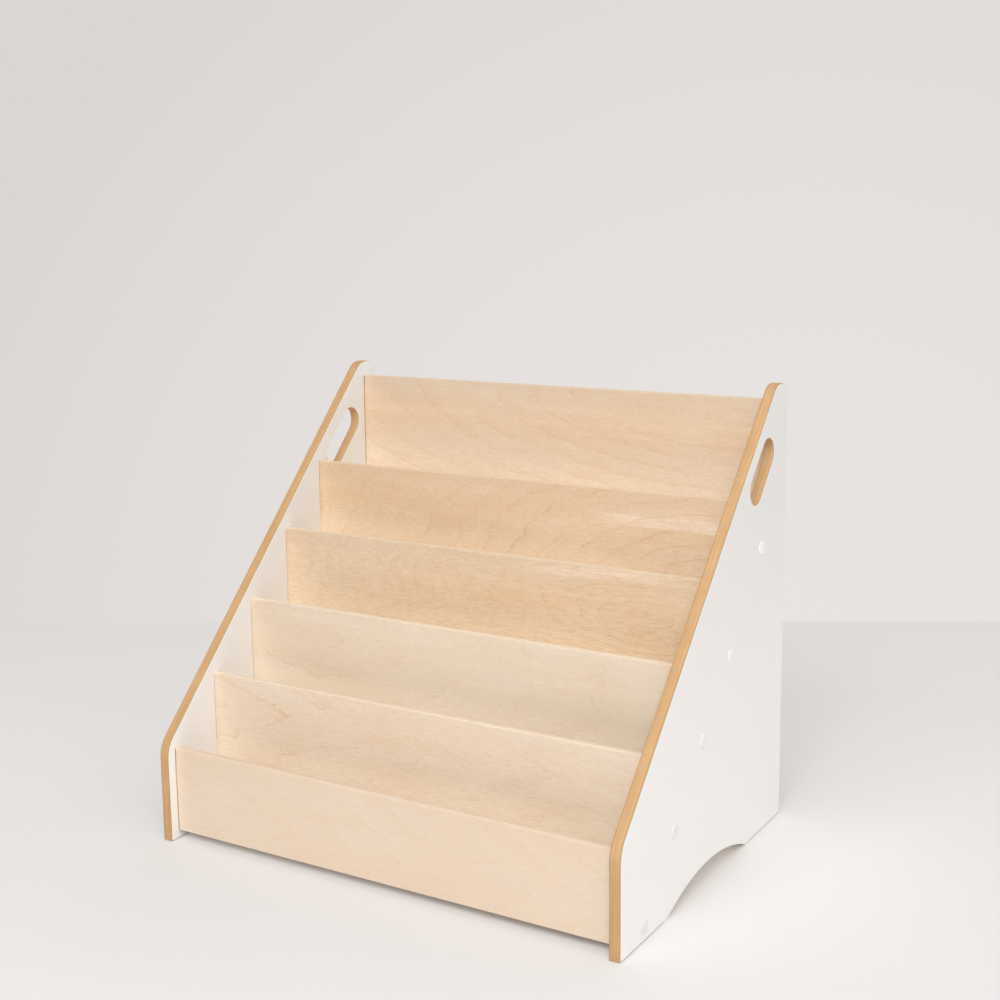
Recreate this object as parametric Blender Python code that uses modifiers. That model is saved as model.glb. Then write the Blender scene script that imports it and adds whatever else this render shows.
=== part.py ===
"""Stepped book display for a child's room.

Two slanted side panels carry six upright plywood boards, each higher than the one in front of it, and
the pocket floors between them. The upright boards end in stub tongues that sit in stopped housings in
the panels. One screw a side holds each pocket floor, and a cap covers each screw head.

Axes: X across the display, -Y to the front, +Z up. The origin is on the ground, midway between the
panels and midway from front to back. All sizes are in metres.
"""
import math

import bmesh
import bpy
from mathutils import Vector

# Overall sizes
WIDTH = 0.420
DEPTH = 0.302
HEIGHT = 0.370

# Side panels
PANEL_THICKNESS = 0.009
FRONT_EDGE_HEIGHT = 0.081   # upright front edge, up to where the slant starts
TOP_EDGE_DEPTH = 0.024      # level top edge, from the slant to the back
BEND_RADIUS = 0.026         # between the front edge and the slant
NOSE_RADIUS = 0.018         # between the slant and the top edge
REAR_RADIUS = 0.014         # between the top edge and the back edge
ARCH_SPAN = 0.152           # arch in the base, between the feet
ARCH_RISE = 0.0165
FOOT_RADIUS = 0.025         # where the arch runs out into a foot
SLOT_LENGTH = 0.060         # hand slot, along the slant
SLOT_WIDTH = 0.0255
SLOT_BRIDGE = 0.012         # panel left between the slant and the slot
SLOT_FROM_NOSE = 0.0679     # along the slant, from its upper end to the slot's middle

# Upright boards
BOARD_THICKNESS = 0.0065
FRONT_SETBACK = 0.0085      # front board behind the panels' front edge
FRONT_CLEARANCE = 0.0075    # front board above the ground
FRONT_BOARD_HEIGHT = 0.0705
DIVIDER_COUNT = 4
DIVIDER_HEIGHT = 0.1208
DIVIDER_SETBACK = 0.0136    # divider's top front corner behind the slant
STEP_RISE = 0.0526          # from one divider up to the next
BACK_BOARD_HEIGHT = 0.1185
BACK_BOARD_DROP = 0.013     # below the panels' top edge
BACK_BOARD_INSET = 0.0125   # in front of the panels' back edge

# Tongue and housing at both ends of each upright board
TONGUE_LENGTH = 0.003
TONGUE_SHOULDER = 0.008     # board left above and below a tongue

# Pocket floors
FLOOR_THICKNESS = 0.0065

# Screws through the panels into the pocket floors
SCREW_LENGTH = 0.032
SHANK_RADIUS = 0.0015
TIP_LENGTH = 0.003
HEAD_RADIUS = 0.003
HEAD_HEIGHT = 0.0016
HEAD_SINK = 0.0003          # head below the panel's face
SOCKET_RADIUS = 0.0013
SOCKET_DEPTH = 0.0013

# Caps over the screw heads
CAP_RADIUS = 0.0055
CAP_RIM = 0.0006            # straight edge of the cap
CAP_DOME = 0.0004           # rise from the cap's edge to its middle
STEM_LENGTH = 0.0010        # into the screw's socket

# Fits and fineness
GAP = 0.0003                # between pieces that touch
CUT_PAST = 0.001            # how far a cut runs out past the face it opens
CHORD_ERROR = 0.00002       # most that an arc's chords leave the true curve
TURN_STEPS = 20             # sides of a turned piece
DOME_STEPS = 3

# Worked out from the sizes above
INNER_FACE = WIDTH / 2 - PANEL_THICKNESS
SHOULDER = INNER_FACE - GAP
FRONT = -DEPTH / 2
BACK = DEPTH / 2
BEND = Vector((FRONT, FRONT_EDGE_HEIGHT))
NOSE = Vector((BACK - TOP_EDGE_DEPTH, HEIGHT))
SLANT = (NOSE - BEND).normalized()
INWARD = Vector((SLANT.y, -SLANT.x))
SIDES = {"left": -1, "right": 1}


def arc(centre, radius, first, last):
    """Points round a centre from one angle to another, as many as the chord error asks for."""
    step = 2 * math.acos(1 - CHORD_ERROR / radius)
    count = math.ceil(abs(last - first) / step)
    angles = [first + (last - first) * i / count for i in range(count + 1)]
    return [centre + radius * Vector((math.cos(angle), math.sin(angle))) for angle in angles]


def fillet(before, corner, after, radius):
    """Arc that rounds the corner between two straight edges."""
    to_before = (before - corner).normalized()
    to_after = (after - corner).normalized()
    half_angle = to_before.angle(to_after) / 2
    centre = corner + (to_before + to_after).normalized() * radius / math.sin(half_angle)
    start = corner + to_before * radius / math.tan(half_angle) - centre
    end = corner + to_after * radius / math.tan(half_angle) - centre
    first = math.atan2(start.y, start.x)
    return arc(centre, radius, first, first - start.angle_signed(end))


def base_arch():
    """Arch in a panel's base, from the rear foot to the front one, with a round into each foot."""
    radius = (ARCH_SPAN ** 2 / 4 + ARCH_RISE ** 2) / (2 * ARCH_RISE)
    centre = Vector((0, ARCH_RISE - radius))
    drop = FOOT_RADIUS - centre.y
    reach = math.sqrt((radius + FOOT_RADIUS) ** 2 - drop ** 2)
    lean = math.atan2(reach, drop)
    down = -math.pi / 2
    up = math.pi / 2
    rear_round = arc(Vector((reach, FOOT_RADIUS)), FOOT_RADIUS, down, down - lean)
    crown = arc(centre, radius, up - lean, up + lean)
    front_round = arc(Vector((-reach, FOOT_RADIUS)), FOOT_RADIUS, down + lean, down)
    return rear_round + crown[1:-1] + front_round


def panel_outline():
    """Outer edge of a side panel in the YZ plane, up the front, over the top and along the base."""
    front_foot = Vector((FRONT, 0))
    rear_foot = Vector((BACK, 0))
    rear_top = Vector((BACK, HEIGHT))
    bend = fillet(front_foot, BEND, NOSE, BEND_RADIUS)
    nose = fillet(BEND, NOSE, rear_top, NOSE_RADIUS)
    rear = fillet(NOSE, rear_top, rear_foot, REAR_RADIUS)
    return [front_foot] + bend + nose + rear + [rear_foot] + base_arch()


def slot_outline():
    """Round-ended hand slot, parallel to the slant."""
    radius = SLOT_WIDTH / 2
    middle = NOSE - SLANT * SLOT_FROM_NOSE + INWARD * (SLOT_BRIDGE + radius)
    half = SLANT * (SLOT_LENGTH / 2 - radius)
    heading = math.atan2(SLANT.y, SLANT.x)
    quarter = math.pi / 2
    upper = arc(middle + half, radius, heading - quarter, heading + quarter)
    lower = arc(middle - half, radius, heading + quarter, heading + 3 * quarter)
    return upper + lower


def board_outline(height):
    """Upright board seen from the front, with a stub tongue at each end, centred on its own middle."""
    tip = INNER_FACE + TONGUE_LENGTH
    top = height / 2
    tongue = top - TONGUE_SHOULDER
    right = [
        (SHOULDER, -top),
        (SHOULDER, -tongue),
        (tip, -tongue),
        (tip, tongue),
        (SHOULDER, tongue),
        (SHOULDER, top),
    ]
    left = [(-x, -z) for x, z in right]
    return [Vector(point) for point in right + left]


def upright_boards():
    """Name, front face, lower edge and height of each upright board, from front to back."""
    boards = [("front_board", FRONT + FRONT_SETBACK, FRONT_CLEARANCE, FRONT_BOARD_HEIGHT)]
    for i in range(DIVIDER_COUNT):
        bottom = FRONT_CLEARANCE + i * STEP_RISE
        slant_height = bottom + DIVIDER_HEIGHT - FRONT_EDGE_HEIGHT
        face = FRONT + slant_height * SLANT.x / SLANT.y + DIVIDER_SETBACK
        boards.append((f"divider_{i + 1}", face, bottom, DIVIDER_HEIGHT))
    back_face = BACK - BACK_BOARD_INSET - BOARD_THICKNESS
    back_bottom = HEIGHT - BACK_BOARD_DROP - BACK_BOARD_HEIGHT
    boards.append(("back_board", back_face, back_bottom, BACK_BOARD_HEIGHT))
    return boards


def pockets():
    """Front, back and lower face of the floor between each upright board and the next."""
    boards = upright_boards()
    for (_, face, _, _), (_, next_face, next_bottom, _) in zip(boards, boards[1:]):
        yield face + BOARD_THICKNESS, next_face, next_bottom


def screw_profile(clearance):
    """Half section of a screw, or of the hole that leaves it a clearance; Z points out of the panel."""
    head = HEAD_RADIUS + clearance
    shank = SHANK_RADIUS + clearance
    neck = -HEAD_SINK - HEAD_HEIGHT
    tip = -SCREW_LENGTH - clearance
    if clearance:
        mouth = [(0, CUT_PAST), (head, CUT_PAST), (head, -HEAD_SINK)]
    else:
        socket = -HEAD_SINK - SOCKET_DEPTH
        mouth = [(0, socket), (SOCKET_RADIUS, socket), (SOCKET_RADIUS, -HEAD_SINK), (head, -HEAD_SINK)]
    return mouth + [(shank, neck), (shank, tip + TIP_LENGTH), (0, tip)]


def cap_profile():
    """Half section of a cap: a low dome, a straight rim and a stem into the screw's socket."""
    rim_top = GAP + CAP_RIM
    dome = []
    for i in range(DOME_STEPS + 1):
        share = i / DOME_STEPS
        dome.append((CAP_RADIUS * share, rim_top + CAP_DOME * (1 - share ** 2)))
    stem = SOCKET_RADIUS - GAP
    stem_end = -HEAD_SINK - STEM_LENGTH
    return dome + [(CAP_RADIUS, GAP), (stem, GAP), (stem, stem_end), (0, stem_end)]


def principled(name, colour, roughness, metallic=0.0):
    """Plain material with a colour, a roughness and a metallic value."""
    material = bpy.data.materials.new(name)
    material.use_nodes = True
    shader = material.node_tree.nodes["Principled BSDF"]
    shader.inputs["Base Color"].default_value = (*colour, 1)
    shader.inputs["Roughness"].default_value = roughness
    shader.inputs["Metallic"].default_value = metallic
    return material


def placed(name, mesh, collection, location=(0, 0, 0), rotation=(0, 0, 0)):
    """Object with a mesh at a place."""
    piece = bpy.data.objects.new(name, mesh)
    piece.location = location
    piece.rotation_euler = rotation
    collection.objects.link(piece)
    return piece


def flat_mesh(name, loops, thickness):
    """Closed mesh of a flat outline with any inner loops left open, centred on its own XY plane."""
    curve = bpy.data.curves.new(name, "CURVE")
    curve.dimensions = "2D"
    curve.fill_mode = "BOTH"
    curve.extrude = thickness / 2
    for loop in loops:
        spline = curve.splines.new("POLY")
        spline.points.add(len(loop) - 1)
        spline.use_cyclic_u = True
        for point, place in zip(spline.points, loop):
            point.co = (*place, 0, 1)
    outline = placed(name + "_outline", curve, bpy.context.scene.collection)
    mesh = bpy.data.meshes.new_from_object(outline.evaluated_get(bpy.context.evaluated_depsgraph_get()))
    bpy.data.objects.remove(outline)
    shape = bmesh.new()
    shape.from_mesh(mesh)
    bmesh.ops.remove_doubles(shape, verts=shape.verts, dist=GAP / 100)
    shape.to_mesh(mesh)
    shape.free()
    return mesh


def box_mesh(name, size):
    """Box of a size, centred on its own origin."""
    shape = bmesh.new()
    bmesh.ops.create_cube(shape, size=1)
    bmesh.ops.scale(shape, vec=size, verts=shape.verts)
    mesh = bpy.data.meshes.new(name)
    shape.to_mesh(mesh)
    shape.free()
    return mesh


def profile_mesh(name, profile):
    """Open half section in the XZ plane, ready to be turned about Z."""
    shape = bmesh.new()
    points = [shape.verts.new((radius, 0, z)) for radius, z in profile]
    for upper, lower in zip(points, points[1:]):
        shape.edges.new((upper, lower))
    mesh = bpy.data.meshes.new(name)
    shape.to_mesh(mesh)
    shape.free()
    return mesh


def turn(piece):
    """Turn a half section about the piece's own Z axis."""
    screw = piece.modifiers.new("turned", "SCREW")
    screw.steps = TURN_STEPS
    screw.render_steps = TURN_STEPS
    screw.use_merge_vertices = True
    screw.merge_threshold = GAP / 100
    screw.use_smooth_shade = True


def cut(piece, cutters):
    """Cut every solid of a collection out of a piece."""
    boolean = piece.modifiers.new("cut", "BOOLEAN")
    boolean.operation = "DIFFERENCE"
    boolean.operand_type = "COLLECTION"
    boolean.collection = cutters
    boolean.solver = "EXACT"


def hide_cutter(cutter):
    """Show a cutter as wires only."""
    cutter.hide_render = True
    cutter.display_type = "WIRE"


def child_collection(name, parent):
    """New collection inside another."""
    collection = bpy.data.collections.new(name)
    parent.children.link(collection)
    return collection


def outward(side):
    """Turn of a screw or cap whose own Z axis points out of a side panel."""
    return (0, side * math.pi / 2, 0)


def add_upright_boards(display, birch):
    """Front board, dividers and back board, each on edge."""
    for name, face, bottom, height in upright_boards():
        mesh = flat_mesh(name, [board_outline(height)], BOARD_THICKNESS)
        mesh.materials.append(birch)
        place = (0, face + BOARD_THICKNESS / 2, bottom + height / 2)
        placed(name, mesh, display, place, (math.pi / 2, 0, 0))


def add_housings(panel_cutters):
    """Stopped housing in each panel for each tongue."""
    depth = TONGUE_LENGTH + GAP
    for side_name, side in SIDES.items():
        for name, face, bottom, height in upright_boards():
            size = (
                depth + CUT_PAST,
                BOARD_THICKNESS + 2 * GAP,
                height - 2 * TONGUE_SHOULDER + 2 * GAP,
            )
            place = (
                side * (INNER_FACE + (depth - CUT_PAST) / 2),
                face + BOARD_THICKNESS / 2,
                bottom + height / 2,
            )
            mesh = box_mesh(f"{name}_housing", size)
            hide_cutter(placed(f"{name}_housing_{side_name}", mesh, panel_cutters[side_name], place))


def add_pocket_floors(display, floor_cutters, birch):
    """Floor of each pocket, bored at both ends for its screws."""
    for i, (front, back, bottom) in enumerate(pockets(), 1):
        mesh = box_mesh(f"pocket_floor_{i}", (2 * SHOULDER, back - front - 2 * GAP, FLOOR_THICKNESS))
        mesh.materials.append(birch)
        place = (0, (front + back) / 2, bottom + FLOOR_THICKNESS / 2)
        cut(placed(f"pocket_floor_{i}", mesh, display, place), floor_cutters[i])


def add_screws_and_caps(display, panel_cutters, floor_cutters, steel, white):
    """One screw, its hole and its cap for each end of each pocket floor."""
    screw_mesh = profile_mesh("screw", screw_profile(0))
    screw_mesh.materials.append(steel)
    hole_mesh = profile_mesh("screw_hole", screw_profile(GAP))
    cap_mesh = profile_mesh("cap", cap_profile())
    cap_mesh.materials.append(white)
    for side_name, side in SIDES.items():
        for i, (front, back, bottom) in enumerate(pockets(), 1):
            place = (side * WIDTH / 2, (front + back) / 2, bottom + FLOOR_THICKNESS / 2)
            aim = outward(side)
            hole = placed(f"screw_hole_{side_name}_{i}", hole_mesh, panel_cutters[side_name], place, aim)
            floor_cutters[i].objects.link(hole)
            hide_cutter(hole)
            turn(hole)
            turn(placed(f"screw_{side_name}_{i}", screw_mesh, display, place, aim))
            turn(placed(f"cap_{side_name}_{i}", cap_mesh, display, place, aim))


def add_side_panels(display, panel_cutters, white_faced):
    """Both side panels, with their housings and screw holes cut."""
    for side_name, side in SIDES.items():
        mesh = flat_mesh(f"side_panel_{side_name}", [panel_outline(), slot_outline()], PANEL_THICKNESS)
        mesh.materials.append(white_faced)
        place = (side * (WIDTH - PANEL_THICKNESS) / 2, 0, 0)
        panel = placed(f"side_panel_{side_name}", mesh, display, place, (math.pi / 2, 0, math.pi / 2))
        cut(panel, panel_cutters[side_name])


def main():
    """Build the display from an empty scene."""
    for piece in list(bpy.data.objects):
        bpy.data.objects.remove(piece)
    root = bpy.context.scene.collection
    display = child_collection("book_display", root)
    cutters = child_collection("cutters", root)
    panel_cutters = {name: child_collection(f"{name}_panel_cutters", cutters) for name in SIDES}
    floor_numbers = range(1, DIVIDER_COUNT + 2)
    floor_cutters = {i: child_collection(f"floor_{i}_cutters", cutters) for i in floor_numbers}

    birch = principled("birch_plywood", (0.80, 0.62, 0.44), 0.55)
    white_faced = principled("white_faced_board", (0.85, 0.83, 0.79), 0.40)
    steel = principled("zinc_plated_steel", (0.62, 0.62, 0.60), 0.35, 1.0)
    white = principled("white_cap_plastic", (0.86, 0.85, 0.82), 0.40)

    add_upright_boards(display, birch)
    add_housings(panel_cutters)
    add_pocket_floors(display, floor_cutters, birch)
    add_screws_and_caps(display, panel_cutters, floor_cutters, steel, white)
    add_side_panels(display, panel_cutters, white_faced)

    anchor = placed("display_origin", None, display)
    for piece in display.objects:
        if piece is not anchor:
            piece.parent = anchor


main()
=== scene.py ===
"""Looks of a stepped book display.

The panels, boards, floors and caps are finished pieces in the places of the CAD solids, with eased arrises.
The screws are the CAD solids with a finish. Each finish is worked out from the place in the material, so
that a cut edge shows what is inside.
"""

import math

import bpy
from mathutils import Matrix, Vector


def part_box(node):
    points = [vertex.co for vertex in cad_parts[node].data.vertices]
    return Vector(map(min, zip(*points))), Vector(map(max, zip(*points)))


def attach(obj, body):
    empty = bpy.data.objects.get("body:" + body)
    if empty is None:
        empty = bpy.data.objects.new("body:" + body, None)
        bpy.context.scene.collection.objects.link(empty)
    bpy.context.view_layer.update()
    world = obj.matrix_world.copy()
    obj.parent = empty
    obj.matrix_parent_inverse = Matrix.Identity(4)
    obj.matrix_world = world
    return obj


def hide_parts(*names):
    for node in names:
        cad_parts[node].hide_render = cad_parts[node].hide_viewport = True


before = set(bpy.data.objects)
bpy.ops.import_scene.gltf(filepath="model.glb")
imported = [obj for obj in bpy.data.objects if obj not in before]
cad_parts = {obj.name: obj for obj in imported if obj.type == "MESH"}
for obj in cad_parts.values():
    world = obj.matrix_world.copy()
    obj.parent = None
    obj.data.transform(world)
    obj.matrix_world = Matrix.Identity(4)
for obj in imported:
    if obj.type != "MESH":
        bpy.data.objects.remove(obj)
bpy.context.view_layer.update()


def srgb(red, green, blue):
    """Linear colour of an sRGB one given in 0 to 255."""
    def linear(level):
        share = level / 255
        return share / 12.92 if share <= 0.04045 else ((share + 0.055) / 1.055) ** 2.4
    return (linear(red), linear(green), linear(blue), 1.0)


# Sizes read from the frame, in metres as every length here
PANEL_LOW, PANEL_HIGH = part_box("side_panel_right")
PANEL_INNER = PANEL_LOW.x
PANEL_THICKNESS = PANEL_HIGH.x - PANEL_LOW.x
FRONT_LOW, FRONT_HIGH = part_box("front_board")
BOARD_THICKNESS = FRONT_HIGH.y - FRONT_LOW.y
CAP_LOW, CAP_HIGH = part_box("cap_right_1")
CAP_RADIUS = (CAP_HIGH.y - CAP_LOW.y) / 2
SIDES = {"left": -1, "right": 1}
POCKETS = range(1, 6)

# Panels: arrises, the even strip that they run into, the height that holds the base, and the feet's relief
PANEL_ROUND = 0.0010
PANEL_ROUND_STEPS = 5
PANEL_RIM = 0.003
BASE_HEIGHT = 0.020
FOOT_RELIEF = 0.0010
FOOT_MARGIN = 0.0020

# Hand slot: its middle and slope, half its length and width with a margin, and its share of the full arris
SLOT_MIDDLE = Vector((0, 0.0978, 0.3039))
SLOT_RISE = math.radians(46.1)
SLOT_REACH = (0.036, 0.015)
SLOT_FADE = 0.004
SLOT_SHARE = 0.3

# Boards: arrises, and the shadow line at the ends of those whose ends are in full view
BOARD_ROUND = 0.0005
BOARD_ROUND_STEPS = 3
OPEN_ENDED = ("front_board", "back_board")
REVEAL_WIDTH = 0.0007
REVEAL_DEPTH = 0.0009

# Caps: each ring of the crown is a share of the radius and of the crown's height
CAP_RISE = 0.0009
CAP_CROWN = 0.00015
CAP_ROUND = 0.0007
CAP_ROUND_STEPS = 5
CAP_STEPS = 48
CAP_RINGS = ((0.20, 0.45), (0.25, 0.35), (0.30, 0.20))
STEM_RADIUS = 0.0010

# Telling faces and edges apart: by place, by the share of a normal along an axis, and by angle
SAME_PLACE = 1e-6
FACING = 0.99
SQUARE = 0.9999
EDGE_ON = 0.1
UNDERNEATH = 0.3
SHARP_CORNER = 0.5
OUTERMOST = 0.999
SMOOTH_ANGLE = math.radians(35)
FLAT_ANGLE = math.radians(0.4)

# Veneer: waves of each pattern per metre along the grain, through the board and up its face
FEATHER_WAVES = (28, 200, 900)
TERRAIN_WAVES = (9, 40, 26)
RIPPLE_WAVES = (42, 60, 105)
PATCH_WAVES = (12, 40, 34)
BREAK_WAVES = (70, 40, 160)
CLOUD_WAVES = (9, 80, 26)
OCHRE_WAVES = (14, 80, 30)
SHEEN_WAVES = (6, 60, 110)
FIBRE_WAVES = (115, 900, 1050)
DASH_WAVES = (250, 900, 800)
PORE_WAVES = (170, 900, 2300)
END_GRAIN_WAVES = 2600.0

# Veneer: the levels of each pattern between which it comes up
LEAD_RANGE = (0.4, 1.0)
PATCH_RANGE = (0.36, 0.60)
BREAK_RANGE = (0.28, 0.52)
CLOUD_RANGE = (0.35, 0.75)
OCHRE_RANGE = (0.32, 0.50)
SHEEN_RANGE = (0.44, 0.66)
FIBRE_RANGE = (0.36, 0.66)
DASH_RANGE = (0.52, 0.75)
FLECK_RANGE = (0.28, 0.48)
PORE_RANGE = (0.64, 0.80)
END_GRAIN_RANGE = (0.35, 0.7)

# Veneer: the least that shows of what comes and goes, and how much of its tint each pattern lays on
PATCH_LEAST = 0.25
BREAK_LEAST = 0.4
YEAR_LEAST = 0.6
STREAK_LEAST = 0.15
CLOUD_SHARE = 0.18
FIBRE_SHARE = 0.20
DASH_SHARE = 0.17
FLECK_SHARE = 0.16
PORE_SHARE = 0.12
END_GRAIN_SHARE = 0.15

# Veneer: how far its patterns reach, and the strength and depth of its relief
FEATHER_REACH = 0.004
RING_SLOPE = 0.001
FIRST_RING = 40
# How far down from the top edge the painted shade along the top reaches
TOP_SHADE_HEIGHT = 0.035
DRIFT_RANGE = (-0.12, 0.16)
STREAK_EASE = 0.05
VENEER_BUMP = (0.15, 0.0002)

# Plies and glue lines, as shares of the board's thickness
PLY_MIDDLE = 0.22
PLY_HALF = 0.11
PLY_BLUR = 0.005
# Where across the thickness the painted shade on the back half of the top edge comes up
REAR_SHADE_RANGE = (0.45, 0.55)
GLUE_RANGE = (0.004, 0.018)
GLUE_SHARE = 0.12
GLUE = srgb(176, 140, 104)

# Fibreboard under the white faces
SAW_WAVES = (2300, 26, 26)
SAW_LEAST = 0.23
BAND_WAVES = (620, 9, 9)
BAND_SHIFT = (3, 0, 0)
BAND_RANGE = (0.3, 0.7)
GRIT_WAVES = 1700.0
GRIT_RANGE = (0.55, 0.8)
GRIT_SHARE = 0.25
BLOTCH_WAVES = 45.0
BLOTCH_RANGE = (0.4, 0.7)
BLOTCH_SHARE = 0.15
SKIN_SHADE_RANGE = (0.0003, 0.0013)
SKIN_SHADE_SHARE = 0.65
SLOT_TINT = 0.26
FIBRE_PALE = srgb(209, 170, 124)
FIBRE_TAN = srgb(194, 153, 107)
FIBRE_LINE = srgb(180, 135, 87)
FIBRE_GRIT = srgb(160, 116, 72)
FIBRE_BLOTCH = srgb(232, 192, 142)
FIBRE_SKIN_SHADE = srgb(166, 119, 73)
FIBRE_SLOT_PALE = srgb(240, 202, 152)

# White faces, with painted shade that makes them a little greyer high up
FACE_RANGE = (0.00010, 0.00016)
FACE_BUMP = (0.18, 0.00012)
PRESS_WAVES = 900.0
SLOW_WAVES = 6.0
SLOW_SHARE = 0.4
WHITE_LOW = srgb(240, 238, 235)
WHITE_SHADED_HIGH = srgb(229, 227, 224)
WHITE_SHADE_RANGE = (0.06, 0.34)

# Caps' plastic, with painted shade that makes the lower caps a little greyer
SPARK_WAVES = 2200.0
SPARK_BUMP = (0.10, 0.00008)
PLASTIC_SHADED_LOW = srgb(229, 227, 224)
PLASTIC_HIGH = srgb(244, 243, 240)
PLASTIC_SHADE_RANGE = (0.03, 0.22)

# Screws' zinc
TURNED_WAVES = (5200, 300, 300)
TURNED_BUMP = (0.10, 0.00005)
ZINC_WAVES = 420.0
ZINC_PALE = srgb(208, 208, 204)
ZINC_GREY = srgb(184, 186, 188)

# Camera, in the frame's axes
CAMERA_PLACE = Vector((0.6444, -1.0234, 0.5171))
CAMERA_YAW = math.radians(31.069)
CAMERA_PITCH = math.radians(9.917)
CAMERA_ROLL = math.radians(-0.653)
SENSOR = 36.0
IMAGE_SIDE = 1000
FOCAL_PIXELS = 1524.2
AXIS_PIXEL = (500.8, 467.0)

# Backdrop, with painted light: its tones, the direction in which it is palest, the cosine at which it is
# dimmest, and its turn
BACKDROP_DIM = srgb(219, 214, 211)
BACKDROP_PALE = srgb(233, 228, 225)
BACKDROP_AXIS = Vector((-0.325, 0.895, -0.305)).normalized()
BACKDROP_LEAST = 0.836
BACKDROP_YAW = math.radians(29.1)

# Floor: its tones, painted paler further back as painted light, and where it turns into the backdrop's tone:
# at its foot, before it as a glow of painted light that lifts the shadows, all round and near
FLOOR_SIDE = 12
PAPER = srgb(225, 223, 221)
PAPER_LIT_FAR = srgb(243, 240, 237)
PAPER_RANGE = (-0.3, 0.5)
SPECK_WAVES = 700.0
SPECK_SHARE = 0.1
BACKDROP_FOOT = (0.614, 0.634)
SHADOW_LIFT_RANGE = (-0.6, 0.622)
SHADOW_LIFT_SHARE = 0.5
ROUND_RANGE = (0.9, 2.0)
NEAR_RANGE = (-0.85, -0.42)

# Light: the sky's glow all round, from the right and from behind, and each lamp's place, side and power
GLOW_BASE = 0.03
GLOW_RIGHT = 0.34
GLOW_BEHIND = 1.80
LAMP_TARGET = Vector((0, 0, 0.15))
LAMPS = {
    "key": ((0.9, -1.5, 1.7), 1.3, 30.2),
    "front": ((0.0, -1.8, 1.5), 1.2, 19.5),
    "right": ((3.0, -0.7, 2.2), 2.4, 33.0),
    "top": ((0.0, 0.0, 2.3), 2.2, 4.0),
    "left": ((-3.0, -0.3, 0.6), 1.8, 16.0),
}

# Veneer tones: painted light low in the pocket turns to body between the two drops below the top edge,
# and painted shade darkens each board along its top
PEACH = {
    "painted_top_shade": srgb(226, 205, 183), "body": srgb(229, 209, 188), "painted_pocket_light": srgb(230, 210, 189),
    "late": srgb(193, 158, 125), "ochre": srgb(211, 170, 122), "sheen": srgb(240, 223, 206),
    "edge": srgb(236, 217, 196), "far": srgb(236, 217, 196),
    "drop": (0.060, 0.030), "drift": 0.0, "rear": 0.35,
}
ROSE = {
    "painted_top_shade": srgb(230, 212, 192), "body": srgb(234, 215, 194), "painted_pocket_light": srgb(245, 230, 208),
    "late": srgb(204, 166, 124), "ochre": srgb(218, 174, 114), "sheen": srgb(246, 231, 215),
    "edge": srgb(248, 233, 212), "far": srgb(248, 233, 212),
    "drop": (0.064, 0.026), "drift": 0.0, "rear": 0.35,
}
CREAM = {
    "painted_top_shade": srgb(226, 209, 188), "body": srgb(229, 211, 189), "painted_pocket_light": srgb(242, 229, 209),
    "late": srgb(200, 162, 124), "ochre": srgb(214, 168, 112), "sheen": srgb(245, 230, 212),
    "edge": srgb(248, 234, 213), "far": srgb(229, 216, 197),
    "drop": (0.064, 0.026), "drift": 0.8, "rear": 0.0,
}
AMBER = {
    "painted_top_shade": srgb(217, 194, 167), "body": srgb(228, 204, 174), "painted_pocket_light": srgb(244, 223, 191),
    "late": srgb(196, 152, 108), "ochre": srgb(212, 158, 94), "sheen": srgb(245, 228, 208),
    "edge": srgb(248, 231, 206), "far": srgb(250, 206, 150),
    "drop": (0.064, 0.026), "drift": 0.14, "rear": 0.0,
}
GOLD = {
    "painted_top_shade": srgb(217, 190, 161), "body": srgb(224, 195, 159), "painted_pocket_light": srgb(247, 226, 194),
    "late": srgb(196, 152, 108), "ochre": srgb(210, 156, 92), "sheen": srgb(245, 228, 208),
    "edge": srgb(248, 231, 206), "far": srgb(240, 217, 190),
    "drop": (0.064, 0.026), "drift": 0.5, "rear": 0.0,
}
HONEY = {
    "painted_top_shade": srgb(214, 194, 172), "body": srgb(225, 201, 174), "painted_pocket_light": srgb(246, 230, 206),
    "late": srgb(198, 156, 114), "ochre": srgb(210, 164, 108), "sheen": srgb(244, 227, 205),
    "edge": srgb(244, 227, 202), "far": srgb(244, 227, 202),
    "drop": (0.088, 0.032), "drift": 0.0, "rear": 0.0,
}

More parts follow.
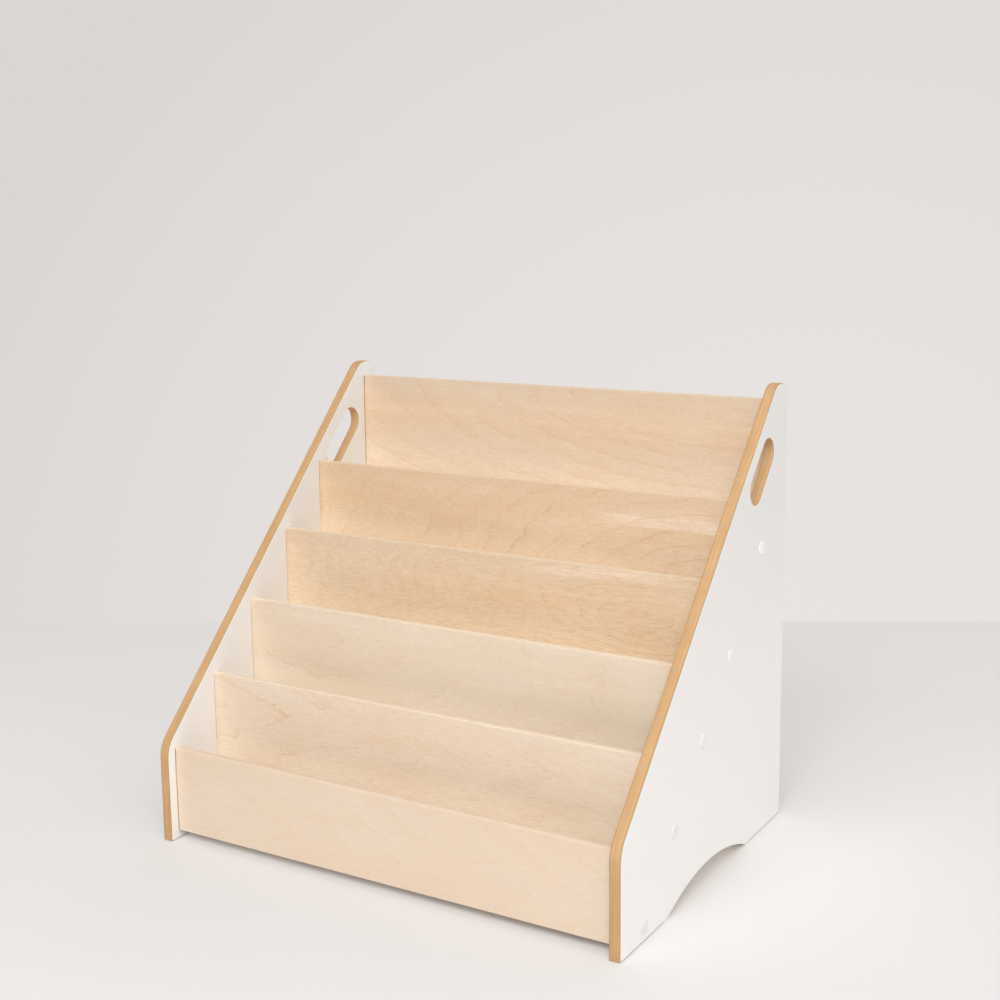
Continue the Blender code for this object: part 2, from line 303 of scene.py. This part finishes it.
# Tone and figure of each upright board, and the figure of the pocket floors
BOARDS = {
    "front_board": (PEACH, {
        "middle": (0.029, 0.029), "across": 0.0, "lean": 0.45, "blunt": 0.004, "start": 0.0046,
        "year": 0.0245, "width": 0.0015, "wander": 0.020, "ripple": 0.015, "faint": -0.08, "clear": 0.0,
        "least": 0.45, "line": 0.38, "band": 0.06, "streak": (-0.3, 0.04, 0.1), "sheen": 0.06,
        "grain": 0.52, "seed": 1.3}),
    "divider_1": (ROSE, {
        "middle": (-0.120, 0.102), "across": 0.0, "lean": 0.36, "blunt": 0.003, "start": 0.003,
        "year": 0.0300, "width": 0.0026, "wander": 0.026, "ripple": 0.028, "faint": -0.06, "clear": -0.10,
        "least": 0.35, "line": 0.66, "band": 0.10, "streak": (-0.3, 0.1, 0.1), "sheen": 0.12,
        "grain": 0.95, "seed": 4.1}),
    "divider_2": (CREAM, {
        "middle": (-0.125, 0.157), "across": 0.42, "lean": 0.0, "blunt": 0.002, "start": 0.0085,
        "year": 0.0260, "width": 0.0022, "wander": 0.013, "ripple": 0.011, "faint": -0.06, "clear": -0.10,
        "least": 0.4, "line": 0.44, "band": 0.10, "streak": (-0.3, 0.15, 0.1), "sheen": 0.14,
        "grain": 0.75, "seed": 7.7}),
    "divider_3": (AMBER, {
        "middle": (0.1475, 0.2015), "across": 0.35, "lean": 0.0, "blunt": 0.002, "start": 0.003,
        "year": 0.0070, "width": 0.0016, "wander": 0.024, "ripple": 0.008, "faint": 0.02, "clear": 0.09,
        "least": 0.6, "line": 0.28, "band": 0.10, "streak": (0.07, 0.222, 0.024), "sheen": 0.6,
        "grain": 1.1, "seed": 9.2}),
    "divider_4": (GOLD, {
        "middle": (0.190, 0.215), "across": 0.45, "lean": 0.0, "blunt": 0.001, "start": 0.008,
        "year": 0.0130, "width": 0.0022, "wander": 0.018, "ripple": 0.007, "faint": -0.06, "clear": 0.04,
        "least": 0.45, "line": 0.42, "band": 0.12, "streak": (0.09, 0.266, 0.031), "sheen": 0.75,
        "grain": 1.05, "seed": 12.6}),
    "back_board": (HONEY, {
        "middle": (0.190, 0.362), "across": 0.29, "lean": 0.0, "blunt": 0.001, "start": 0.004,
        "year": 0.0115, "width": 0.0015, "wander": 0.008, "ripple": 0.003, "faint": -0.2, "clear": -0.1,
        "least": 0.7, "line": 0.26, "band": 0.18, "streak": (-0.3, 0.31, 0.1), "sheen": 0.12,
        "grain": 0.9, "seed": 15.4}),
}
FLOOR_FIGURE = {
    "middle": (0.05, 0.10), "across": 0.2, "lean": 0.1, "blunt": 0.004, "start": 0.0,
    "year": 0.014, "width": 0.0015, "wander": 0.016, "ripple": 0.006, "faint": -0.2, "clear": 0.2,
    "least": 0.5, "line": 0.4, "band": 0.10, "streak": (-0.3, 0.1, 0.3), "sheen": 0.12,
    "grain": 0.5, "seed": 20.0,
}


class Value:
    """One output of a finish's nodes; arithmetic on it adds Math nodes."""

    def __init__(self, finish, socket):
        self.finish = finish
        self.socket = socket

    def __add__(self, other):
        return self.finish.math("ADD", self, other)

    def __radd__(self, other):
        return self.finish.math("ADD", other, self)

    def __sub__(self, other):
        return self.finish.math("SUBTRACT", self, other)

    def __rsub__(self, other):
        return self.finish.math("SUBTRACT", other, self)

    def __mul__(self, other):
        return self.finish.math("MULTIPLY", self, other)

    def __rmul__(self, other):
        return self.finish.math("MULTIPLY", other, self)

    def __abs__(self):
        return self.finish.math("ABSOLUTE", self)


class Finish:
    """A material or a sky in the making, with the shader that its nodes feed."""

    def __init__(self, name, tree=None):
        if tree is None:
            self.material = bpy.data.materials.new(name)
            self.material.use_nodes = True
            tree = self.material.node_tree
        self.tree = tree
        self.shader = tree.nodes.get("Principled BSDF")

    def node(self, kind, settings=None, inputs=None, output=0):
        """Add a node, set it, feed its sockets and return one of its outputs."""
        made = self.tree.nodes.new(kind)
        for name, setting in (settings or {}).items():
            setattr(made, name, setting)
        for name, value in (inputs or {}).items():
            self.feed(made.inputs[name], value)
        return Value(self, made.outputs[output])

    def feed(self, socket, value):
        """Link a value to a socket, or set the socket to a constant."""
        if isinstance(value, Value):
            self.tree.links.new(value.socket, socket)
        else:
            socket.default_value = value

    def set(self, **inputs):
        """Feed the shader's sockets, named with underscores for spaces."""
        for name, value in inputs.items():
            self.feed(self.shader.inputs[name.replace("_", " ")], value)

    def math(self, operation, *values):
        """Math node on values or numbers."""
        return self.node("ShaderNodeMath", {"operation": operation}, dict(enumerate(values)))

    def place(self):
        """Object coordinates."""
        return self.node("ShaderNodeTexCoord", output="Object")

    def axes(self, place):
        """X, Y and Z of a place."""
        split = self.node("ShaderNodeSeparateXYZ", inputs={0: place})
        return [Value(self, output) for output in split.socket.node.outputs]

    def vector(self, x, y, z):
        """Vector of three values."""
        return self.node("ShaderNodeCombineXYZ", inputs={0: x, 1: y, 2: z})

    def noise(self, place, waves=1.0, detail=2.0, roughness=0.5, distortion=0.0):
        """Noise from 0 to 1 with its middle at 0.5."""
        inputs = {
            "Vector": place,
            "Scale": waves,
            "Detail": detail,
            "Roughness": roughness,
            "Distortion": distortion,
        }
        return self.node("ShaderNodeTexNoise", inputs=inputs)

    def grain(self, place, waves, shift=(0, 0, 0), **settings):
        """Noise with its own waves along each axis, shifted to a new stretch of it."""
        inputs = {"Vector": place, "Scale": waves, "Location": shift}
        return self.noise(self.node("ShaderNodeMapping", inputs=inputs), **settings)

    def rise(self, value, limits, start=0.0, end=1.0):
        """Smooth step from start to end as the value goes from one limit to the other."""
        inputs = {0: value, 1: limits[0], 2: limits[1], 3: start, 4: end}
        return self.node("ShaderNodeMapRange", {"interpolation_type": "SMOOTHSTEP"}, inputs)

    def fall(self, value, limits, start=1.0):
        """Smooth step from start to nothing as the value goes from one limit to the other."""
        return self.rise(value, limits, start, 0.0)

    def mix(self, share, first, second):
        """Colour between two others."""
        return self.node("ShaderNodeMix", {"data_type": "RGBA"}, {0: share, 6: first, 7: second}, 2)

    def layered(self, colour, *layers):
        """Colour with tints laid over it one by one, each given as its share and its colour."""
        for share, tint in layers:
            colour = self.mix(share, colour, tint)
        return colour

    def most(self, first, *others):
        """Greatest of some values."""
        for other in others:
            first = self.math("MAXIMUM", first, other)
        return first

    def sight(self):
        """1 for what the camera sees straight, in a reflection or through glass."""
        path = self.node("ShaderNodeLightPath").socket.node
        rays = ("Is Camera Ray", "Is Glossy Ray", "Is Transmission Ray")
        return self.most(*(Value(self, path.outputs[ray]) for ray in rays))

    def bump(self, height, strength, distance):
        """Normal of a surface with a height on it."""
        inputs = {"Height": height, "Strength": strength, "Distance": distance}
        return self.node("ShaderNodeBump", inputs=inputs)


def growth_lines(wood, place, through, figure):
    """Lines at the end of each year's growth and the bands that lead up to them, as shares that show.

    They cross the face as contour lines cross a hill. figure gives the hill's middle, how much of a cone it
    is across, its lean along the grain and how blunt it is, where the first line is, the widths of a year
    and of a line, how far the lines wander and ripple, where along the board they are faint and clear with
    the least that shows there, and how much lines and bands show.
    """
    x, z = wood.axes(place)[::2]
    seed = figure["seed"]
    middle_x, middle_z = figure["middle"]

    # Years counted up the hill, feathered along the fibres
    feather = wood.grain(place, FEATHER_WAVES, (seed, 0, 0), detail=1.0) - 0.5
    terrain = wood.grain(place, TERRAIN_WAVES, (seed, 0, seed)) - 0.5
    ripple = wood.grain(place, RIPPLE_WAVES, (0, seed, 0)) - 0.5
    beside = x - middle_x + feather * FEATHER_REACH
    above = z - middle_z
    across = beside * figure["across"]
    hill = wood.math("SQRT", across * across + above * above + figure["blunt"] ** 2)
    growth = hill + beside * figure["lean"] + terrain * figure["wander"] + ripple * figure["ripple"]
    ring = (growth + through * RING_SLOPE - figure["start"]) * (1 / figure["year"]) + FIRST_RING
    phase = wood.math("FRACT", ring)
    number = wood.math("FLOOR", ring)

    # What shows of them, in patches, with breaks, and more of some years than of others
    patches = wood.grain(place, PATCH_WAVES, (seed * 2, 0, 0))
    breaks = wood.grain(place, BREAK_WAVES, (0, 0, seed))
    year = wood.node("ShaderNodeTexWhiteNoise", {"noise_dimensions": "1D"}, {"W": number})
    strength = year * (1 - YEAR_LEAST) + YEAR_LEAST
    clear = wood.rise(x, (figure["faint"], figure["clear"]), figure["least"])
    shown = wood.rise(patches, PATCH_RANGE, PATCH_LEAST) * strength * clear
    line = wood.fall((1 - phase) * figure["year"], (0.0, figure["width"]))
    lines = line * shown * wood.rise(breaks, BREAK_RANGE, BREAK_LEAST) * figure["line"]
    bands = wood.rise(phase, LEAD_RANGE) * shown * figure["band"]
    return lines, bands


def birch_plywood(name, front, top, tone, figure, lying):
    """Birch plywood: a peeled face veneer, cross plies and glue lines.

    front and top are where the board's front face and top edge are, or the underside and back edge of a
    lying board. tone gives the colours: body, with painted light that makes the board paler down in the
    pocket, turning to body between the two drops below its top edge, and painted shade that makes it darker
    along the top; far towards the right end as much as drift says, late, ochre and sheen for the figure, and
    edge for the cross plies, whose back half painted shade darkens by the share that the tone gives. Besides
    the growth lines, figure gives where along the board the pale streaks of painted sheen start, their level
    and spread, and how much streaks and grain show.
    """
    wood = Finish(name)
    x, y, z = wood.axes(wood.place())
    if lying:
        y, z = z, y
    place = wood.vector(x, y, z)
    through = (y - front) * (1 / BOARD_THICKNESS)
    lines, bands = growth_lines(wood, place, through, figure)

    # Clouds of tone, pale streaks of painted sheen, fibres, dashes and pores along the grain
    seed = figure["seed"]
    grain = figure["grain"]
    cloud = wood.grain(place, CLOUD_WAVES, (0, 0, seed * 3), detail=3.0, distortion=0.4)
    ochre = wood.grain(place, OCHRE_WAVES, (seed, 0, seed * 2), detail=1.0)
    sheen = wood.grain(place, SHEEN_WAVES, (seed * 2, 0, seed))
    fibre = wood.grain(place, FIBRE_WAVES, (seed, 0, 0), detail=3.0, roughness=0.6)
    dashes = wood.grain(place, DASH_WAVES, (0, 0, seed))
    pores = wood.rise(wood.grain(place, PORE_WAVES, detail=1.0), PORE_RANGE)
    # Painted sheen: pale streaks along the grain, strongest in one zone of the board
    start, level, spread = figure["streak"]
    zone = wood.rise(x, (start - STREAK_EASE, start + STREAK_EASE)) * wood.fall(abs(z - level), (0.0, spread))
    zone = zone * (1 - STREAK_LEAST) + STREAK_LEAST
    streaks = wood.rise(sheen, SHEEN_RANGE) * zone * figure["sheen"]

    # Veneer, from its broad tones to its pores
    # Painted light and shade by height: paler low in the pocket, darker along the top
    pocket_light_full, pocket_light_gone = (top - drop for drop in tone["drop"])
    stain = wood.mix(wood.rise(ochre, OCHRE_RANGE), tone["late"], tone["ochre"])
    veneer = wood.layered(
        wood.mix(wood.rise(z, (pocket_light_full, pocket_light_gone)), tone["painted_pocket_light"], tone["body"]),
        (wood.rise(x, DRIFT_RANGE) * tone["drift"], tone["far"]),
        (wood.rise(z, (top - TOP_SHADE_HEIGHT, top)), tone["painted_top_shade"]),
        (wood.rise(cloud, CLOUD_RANGE) * (CLOUD_SHARE * grain), stain),
        (bands, stain),
        (streaks, tone["sheen"]),
        (lines, stain),
        (wood.rise(fibre, FIBRE_RANGE) * (FIBRE_SHARE * grain), tone["late"]),
        (wood.rise(dashes, DASH_RANGE) * (DASH_SHARE * grain), stain),
        (wood.fall(dashes, FLECK_RANGE) * (FLECK_SHARE * grain), tone["sheen"]),
        (pores * PORE_SHARE, tone["late"]),
    )

    # Cross plies show their end grain on the long edges, and painted shade darkens the back half of the top
    # edge
    ply = abs(abs(through - 0.5) - PLY_MIDDLE)
    cross = wood.fall(ply, (PLY_HALF - PLY_BLUR, PLY_HALF + PLY_BLUR))
    glue = wood.fall(abs(ply - PLY_HALF), GLUE_RANGE)
    grit = wood.rise(wood.noise(place, END_GRAIN_WAVES), END_GRAIN_RANGE) * END_GRAIN_SHARE
    rear = wood.rise(through, REAR_SHADE_RANGE) * tone["rear"]
    end_grain = wood.mix(grit + rear, tone["edge"], tone["late"])

    wood.set(
        Base_Color=wood.layered(veneer, (cross, end_grain), (glue * GLUE_SHARE, GLUE)),
        Roughness=0.50 + (fibre - 0.5) * 0.16 + cross * 0.12,
        Normal=wood.bump(fibre - pores * 0.6 - lines * 0.3, *VENEER_BUMP),
        Specular_IOR_Level=0.35,
    )
    return wood.material


def slot_zone(board, y, z):
    """1 in and just round the hand slot, 0 elsewhere."""
    back = y - SLOT_MIDDLE.y
    up = z - SLOT_MIDDLE.z
    along = abs(back * math.cos(SLOT_RISE) + up * math.sin(SLOT_RISE))
    across = abs(back * math.sin(SLOT_RISE) - up * math.cos(SLOT_RISE))
    length, width = SLOT_REACH
    return board.fall(along, (length, length + SLOT_FADE)) * board.fall(across, (width, width + SLOT_FADE))


def white_faced_board(name):
    """Fibreboard with a thin white face on each side; cut edges and rounds show the fibre."""
    board = Finish(name)
    place = board.place()
    x, y, z = board.axes(place)
    middle = PANEL_INNER + PANEL_THICKNESS / 2
    depth = PANEL_THICKNESS / 2 - abs(abs(x) - middle)

    # Fibre: fine saw lines along the edge, a denser skin under each face, darkened more by painted shade
    # along the rounded arrises, and a paler tint in and round the slot
    lines = board.grain(place, SAW_WAVES, detail=3.0, roughness=0.6)
    bands = board.grain(place, BAND_WAVES, BAND_SHIFT)
    grit = board.noise(place, GRIT_WAVES)
    blotch = board.noise(place, BLOTCH_WAVES)
    fibre = board.layered(
        board.mix(board.rise(bands, BAND_RANGE), FIBRE_PALE, FIBRE_TAN),
        (lines - SAW_LEAST, FIBRE_LINE),
        (board.rise(grit, GRIT_RANGE) * GRIT_SHARE, FIBRE_GRIT),
        (board.rise(blotch, BLOTCH_RANGE) * BLOTCH_SHARE, FIBRE_BLOTCH),
        (board.fall(depth, SKIN_SHADE_RANGE, SKIN_SHADE_SHARE), FIBRE_SKIN_SHADE),
        (slot_zone(board, y, z) * SLOT_TINT, FIBRE_SLOT_PALE),
    )

    # White face: very fine print of the press plate, slow drift in tone, and painted shade that greys it high
    # up
    drift = board.noise(place, SLOW_WAVES)
    press = board.noise(place, PRESS_WAVES)
    # Painted shade greys the white higher up; the slow drift adds random tone over it
    high = board.rise(z, WHITE_SHADE_RANGE) + (drift - 0.5) * SLOW_SHARE
    white = board.fall(depth, FACE_RANGE)

    board.set(
        Base_Color=board.mix(white, fibre, board.mix(high, WHITE_LOW, WHITE_SHADED_HIGH)),
        Roughness=0.62 - white * 0.22 + (press - 0.5) * 0.08,
        Normal=board.bump(white * press * 0.25 + (1 - white) * (lines + grit), *FACE_BUMP),
        Specular_IOR_Level=0.4,
    )
    return board.material


def cap_plastic(name):
    """White moulded plastic with a fine spark finish."""
    plastic = Finish(name)
    place = plastic.place()
    z = plastic.axes(place)[2]
    spark = plastic.noise(place, SPARK_WAVES)
    # Painted shade: the plastic greys towards the lower caps
    plastic.set(
        Base_Color=plastic.mix(plastic.rise(z, PLASTIC_SHADE_RANGE), PLASTIC_SHADED_LOW, PLASTIC_HIGH),
        Roughness=0.38 + (spark - 0.5) * 0.12,
        Normal=plastic.bump(spark, *SPARK_BUMP),
    )
    return plastic.material


def zinc_plate(name):
    """Bright zinc on steel, with turning marks round the screw."""
    zinc = Finish(name)
    place = zinc.place()
    marks = zinc.grain(place, TURNED_WAVES)
    cloud = zinc.noise(place, ZINC_WAVES, detail=3.0)
    zinc.set(
        Base_Color=zinc.mix(cloud, ZINC_PALE, ZINC_GREY),
        Metallic=1.0,
        Roughness=0.26 + (cloud - 0.5) * 0.14 + (marks - 0.5) * 0.10,
        Normal=zinc.bump(marks, *TURNED_BUMP),
    )
    return zinc.material


def welded_copy(node, name):
    """Copy of a CAD node as one welded surface, active and selected."""
    bpy.ops.object.select_all(action="DESELECT")
    piece = bpy.data.objects.new(name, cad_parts[node].data.copy())
    bpy.context.scene.collection.objects.link(piece)
    bpy.context.view_layer.objects.active = piece
    piece.select_set(True)
    bpy.ops.object.mode_set(mode="EDIT")
    bpy.ops.mesh.select_all(action="SELECT")
    bpy.ops.mesh.remove_doubles(threshold=SAME_PLACE)
    bpy.ops.object.mode_set(mode="OBJECT")
    piece.data.materials.clear()
    return piece


def choose_faces(wanted):
    """Select only the wanted faces of the active piece, then go into edit mode on them."""
    mesh = bpy.context.object.data
    for group in (mesh.vertices, mesh.edges, mesh.polygons):
        group.foreach_set("select", [False] * len(group))
    for face in mesh.polygons:
        face.select = wanted(face)
    bpy.ops.object.mode_set(mode="EDIT")
    bpy.ops.mesh.select_mode(type="FACE")


def round_over(piece, shares, width, steps):
    """Round edges of a piece; shares gives each edge's part of the full width by the edge's key."""
    weights = piece.data.attributes.new("bevel_weight_edge", "FLOAT", "EDGE")
    for edge in piece.data.edges:
        weights.data[edge.index].value = shares.get(edge.key, 0.0)
    ease = piece.modifiers.new("ease", "BEVEL")
    ease.limit_method = "WEIGHT"
    ease.width = width
    ease.segments = steps
    ease.use_clamp_overlap = False
    bpy.ops.object.modifier_apply(modifier=ease.name)
    piece.data.attributes.remove(piece.data.attributes["bevel_weight_edge"])


def frame_flat_face(level):
    """Give a panel's flat face at an x an even rim inside each of its borders, and fill it anew."""
    choose_faces(lambda face: abs(face.center.x - level) < SAME_PLACE and abs(face.normal.x) > FACING)
    bpy.ops.mesh.inset(thickness=PANEL_RIM, use_even_offset=True)
    bpy.ops.mesh.delete(type="FACE")
    bpy.ops.mesh.select_mode(type="EDGE")
    bpy.ops.mesh.select_all(action="DESELECT")
    bpy.ops.mesh.select_non_manifold(extend=False)
    bpy.ops.mesh.fill(use_beauty=True)
    bpy.ops.object.mode_set(mode="OBJECT")


def panel_arrises(mesh):
    """Edges round a panel's outline, with a lesser ease round its slot and none underneath."""
    shares = {}
    normals = {}
    for face in mesh.polygons:
        spread = [mesh.vertices[i].co.x for i in face.vertices]
        if abs(face.normal.x) > EDGE_ON or max(spread) - min(spread) < PANEL_THICKNESS - SAME_PLACE:
            continue
        if face.normal.z < -UNDERNEATH and face.center.z < BASE_HEIGHT:
            continue
        in_slot = (SLOT_MIDDLE - face.center).yz.dot(face.normal.yz) > 0
        for key in face.edge_keys:
            first, second = (mesh.vertices[i].co for i in key)
            if abs(first.x - second.x) < SAME_PLACE:
                shares[key] = SLOT_SHARE if in_slot else 1.0
            elif key in normals and face.normal.dot(normals[key]) < SHARP_CORNER:
                shares[key] = 1.0
            normals[key] = face.normal
    return shares


def relieve_feet():
    """Lift the border of the active panel's feet a little, so that they stand on their faces' middle."""
    choose_faces(lambda face: face.normal.z < -FACING and face.center.z < SAME_PLACE)
    bpy.ops.transform.translate(value=(0, 0, FOOT_RELIEF))
    bpy.ops.mesh.inset(thickness=FOOT_MARGIN, depth=FOOT_RELIEF, use_even_offset=True)
    bpy.ops.object.mode_set(mode="OBJECT")


def board_arrises(mesh):
    """Long edges of a board's front and back faces."""
    shares = {}
    for edge in mesh.edges:
        first, second = (mesh.vertices[i].co for i in edge.vertices)
        if abs(first.x - second.x) > PANEL_INNER:
            shares[edge.key] = 1.0
    return shares


def cut_reveals():
    """Cut a fine groove in the active board's front face along each panel."""
    near, far = PANEL_INNER - REVEAL_WIDTH, PANEL_INNER
    for sign in SIDES.values():
        for level in (near, far):
            bpy.ops.object.mode_set(mode="EDIT")
            bpy.ops.mesh.select_all(action="SELECT")
            bpy.ops.mesh.bisect(plane_co=(sign * level, 0, 0), plane_no=(1, 0, 0))
            bpy.ops.object.mode_set(mode="OBJECT")
        choose_faces(lambda face: face.normal.y < -FACING and near < sign * face.center.x < far)
        bpy.ops.mesh.extrude_region_move(TRANSFORM_OT_translate={"value": (0, REVEAL_DEPTH, 0)})
        bpy.ops.object.mode_set(mode="OBJECT")


def dissolve_flat():
    """Make the flat faces of the active piece whole."""
    bpy.ops.object.mode_set(mode="EDIT")
    bpy.ops.mesh.select_all(action="SELECT")
    bpy.ops.mesh.dissolve_limited(angle_limit=FLAT_ANGLE)
    bpy.ops.object.mode_set(mode="OBJECT")


def finish_piece(piece, node, material):
    """Shade a piece, give it its material and put it in its node's place."""
    bpy.ops.object.shade_smooth_by_angle(angle=SMOOTH_ANGLE)
    for face in piece.data.polygons:
        if max(abs(share) for share in face.normal) > SQUARE:
            face.use_smooth = False
    piece.data.materials.append(material)
    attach(piece, "root")
    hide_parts(node)


def add_panels():
    """Side panels with their outline and slot rounded over and their feet relieved."""
    material = white_faced_board("white_faced_fibreboard")
    for side, sign in SIDES.items():
        node = f"side_panel_{side}"
        piece = welded_copy(node, f"{side}_panel")
        for level in (PANEL_INNER, PANEL_INNER + PANEL_THICKNESS):
            frame_flat_face(sign * level)
        round_over(piece, panel_arrises(piece.data), PANEL_ROUND, PANEL_ROUND_STEPS)
        relieve_feet()
        finish_piece(piece, node, material)


def add_board(node, tone, figure, lying=False):
    """Plywood board with its long arrises eased."""
    piece = welded_copy(node, f"{node}_birch")
    dissolve_flat()
    round_over(piece, board_arrises(piece.data), BOARD_ROUND, BOARD_ROUND_STEPS)
    if node in OPEN_ENDED:
        cut_reveals()
    low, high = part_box(node)
    front, top = (low.z, high.y) if lying else (low.y, high.z)
    material = birch_plywood(f"{node}_veneer", front, top, tone, figure, lying)
    finish_piece(piece, node, material)


def add_boards():
    """Upright boards and pocket floors."""
    for node, (tone, figure) in BOARDS.items():
        add_board(node, tone, figure)
    for number in POCKETS:
        add_board(f"pocket_floor_{number}", CREAM, FLOOR_FIGURE, lying=True)


def cap_rim(mesh):
    """Edge round a cap's upper face."""
    shares = {}
    for edge in mesh.edges:
        ends = [mesh.vertices[i].co for i in edge.vertices]
        outer = all(end.x > 0 and math.hypot(end.y, end.z) > CAP_RADIUS * OUTERMOST for end in ends)
        if outer and abs(ends[0].x - ends[1].x) < SAME_PLACE:
            shares[edge.key] = 1.0
    return shares


def model_cap():
    """Cap on the X axis, seated at the origin: a thin disc with a soft rim and a low crown, on a stem."""
    height = CAP_RISE - CAP_CROWN
    bpy.ops.object.select_all(action="DESELECT")
    bpy.ops.mesh.primitive_cylinder_add(
        vertices=CAP_STEPS, radius=CAP_RADIUS, depth=height,
        location=(height / 2, 0, 0), rotation=(0, math.pi / 2, 0))
    bpy.ops.object.transform_apply(location=True, rotation=True, scale=True)
    cap = bpy.context.object
    cap.name = "cap"

    choose_faces(lambda face: face.normal.x > FACING)
    for ring, step in CAP_RINGS:
        bpy.ops.mesh.inset(thickness=ring * CAP_RADIUS, depth=step * CAP_CROWN)
    bpy.ops.object.mode_set(mode="OBJECT")
    choose_faces(lambda face: face.normal.x < -FACING)
    bpy.ops.mesh.inset(thickness=CAP_RADIUS - STEM_RADIUS)
    bpy.ops.mesh.extrude_region_move(TRANSFORM_OT_translate={"value": (CAP_LOW.x - PANEL_HIGH.x, 0, 0)})
    bpy.ops.object.mode_set(mode="OBJECT")
    round_over(cap, cap_rim(cap.data), CAP_ROUND, CAP_ROUND_STEPS)
    return cap


def add_caps():
    """Caps over the screws, modelled once and copied."""
    plastic = cap_plastic("cap_white")
    pattern = model_cap()
    for side, sign in SIDES.items():
        for number in POCKETS:
            node = f"cap_{side}_{number}"
            low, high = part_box(node)
            middle = (low + high) / 2
            bpy.ops.object.select_all(action="DESELECT")
            pattern.select_set(True)
            bpy.context.view_layer.objects.active = pattern
            bpy.ops.object.duplicate()
            cap = bpy.context.object
            cap.name = f"{node}_dome"
            cap.location = (sign * PANEL_HIGH.x, middle.y, middle.z)
            cap.rotation_euler = (0, 0, 0 if sign > 0 else math.pi)
            bpy.ops.object.transform_apply(location=True, rotation=True, scale=True)
            finish_piece(cap, node, plastic)
    bpy.data.objects.remove(pattern)


def add_screws():
    """Finish of the screws under the caps."""
    zinc = zinc_plate("screw_zinc")
    for side in SIDES:
        for number in POCKETS:
            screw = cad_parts[f"screw_{side}_{number}"]
            screw.data.materials.clear()
            screw.data.materials.append(zinc)


def add_camera():
    """Camera at the photograph's place and angle."""
    data = bpy.data.cameras.new("photo_camera")
    data.sensor_width = SENSOR
    data.lens = SENSOR * FOCAL_PIXELS / IMAGE_SIDE
    data.shift_x = (IMAGE_SIDE / 2 - AXIS_PIXEL[0]) / IMAGE_SIDE
    data.shift_y = (AXIS_PIXEL[1] - IMAGE_SIDE / 2) / IMAGE_SIDE
    camera = bpy.data.objects.new("photo_camera", data)
    turn = Matrix.Rotation(CAMERA_YAW, 4, "Z") @ Matrix.Rotation(math.pi / 2 - CAMERA_PITCH, 4, "X")
    camera.matrix_world = Matrix.Translation(CAMERA_PLACE) @ turn @ Matrix.Rotation(CAMERA_ROLL, 4, "Z")
    bpy.context.scene.collection.objects.link(camera)
    bpy.context.scene.camera = camera


def backdrop_tone(stage, direction):
    """Backdrop's tone in a direction from the camera's place, with painted light palest low on the right."""
    settings = {"operation": "DOT_PRODUCT"}
    cosine = stage.node("ShaderNodeVectorMath", settings, {0: direction, 1: BACKDROP_AXIS}, "Value")
    pale = stage.node("ShaderNodeMapRange", inputs={0: cosine, 1: BACKDROP_LEAST, 2: 1.0})
    return stage.mix(pale, BACKDROP_DIM, BACKDROP_PALE)


def add_sky():
    """Sky that shows the backdrop's tone and lights softly from the right and from behind."""
    world = bpy.data.worlds.new("studio")
    bpy.context.scene.world = world
    world.use_nodes = True
    sky = Finish("studio", world.node_tree)
    direction = sky.node("ShaderNodeTexCoord", output="Generated")
    x, y = sky.axes(direction)[:2]
    right = sky.math("MAXIMUM", x, 0.0)
    behind = sky.math("MAXIMUM", y, 0.0)
    glow = right * right * GLOW_RIGHT + behind * behind * GLOW_BEHIND + GLOW_BASE
    colour = sky.mix(sky.sight(), sky.vector(glow, glow, glow), backdrop_tone(sky, direction))
    sky.feed(world.node_tree.nodes["Background"].inputs["Color"], colour)


def add_floor():
    """Pale paper floor, painted paler further back, that keeps the shadow, lifted in part by a glow of
    painted light, and turns into the backdrop's tone further off.
    """
    bpy.ops.object.select_all(action="DESELECT")
    bpy.ops.mesh.primitive_plane_add(size=FLOOR_SIDE, location=(0, 0, 0))
    ground = bpy.context.object
    ground.name = "studio_floor"
    paper = Finish("studio_paper")
    place = paper.place()
    x, y = paper.axes(place)[:2]
    away = y * math.cos(BACKDROP_YAW) - x * math.sin(BACKDROP_YAW)
    # Painted light: the paper is paler further back, away from the lamps
    tone = paper.mix(paper.rise(away, PAPER_RANGE), PAPER, PAPER_LIT_FAR)
    specks = paper.noise(place, SPECK_WAVES) * SPECK_SHARE
    paper.set(Base_Color=paper.mix(specks, tone, BACKDROP_PALE), Roughness=0.9, Specular_IOR_Level=0.0)

    # Painted light: the glow before the backdrop lifts the shadow under and behind the display
    fade = paper.most(
        paper.rise(away, BACKDROP_FOOT),
        paper.rise(away, SHADOW_LIFT_RANGE) * SHADOW_LIFT_SHARE,
        paper.rise(paper.math("SQRT", x * x + y * y), ROUND_RANGE),
        paper.fall(away, NEAR_RANGE),
    )
    line = paper.node("ShaderNodeVectorMath", {"operation": "SUBTRACT"}, {0: place, 1: CAMERA_PLACE})
    direction = paper.node("ShaderNodeVectorMath", {"operation": "NORMALIZE"}, {0: line})
    backdrop = paper.node("ShaderNodeEmission", inputs={"Color": backdrop_tone(paper, direction)})
    shader = Value(paper, paper.shader.outputs[0])
    mixed = paper.node("ShaderNodeMixShader", inputs={0: fade * paper.sight(), 1: shader, 2: backdrop})
    paper.feed(paper.tree.nodes["Material Output"].inputs["Surface"], mixed)
    ground.data.materials.append(paper.material)


def add_lamps():
    """Square soft lamps aimed at the display."""
    for name, (place, side, power) in LAMPS.items():
        data = bpy.data.lights.new(name, "AREA")
        data.size = side
        data.energy = power
        lamp = bpy.data.objects.new(name, data)
        lamp.location = place
        lamp.rotation_euler = (LAMP_TARGET - Vector(place)).to_track_quat("-Z", "Y").to_euler()
        bpy.context.scene.collection.objects.link(lamp)


bpy.context.scene.view_settings.view_transform = "Standard"
add_camera()
add_sky()
add_floor()
add_lamps()
add_panels()
add_boards()
add_caps()
add_screws()
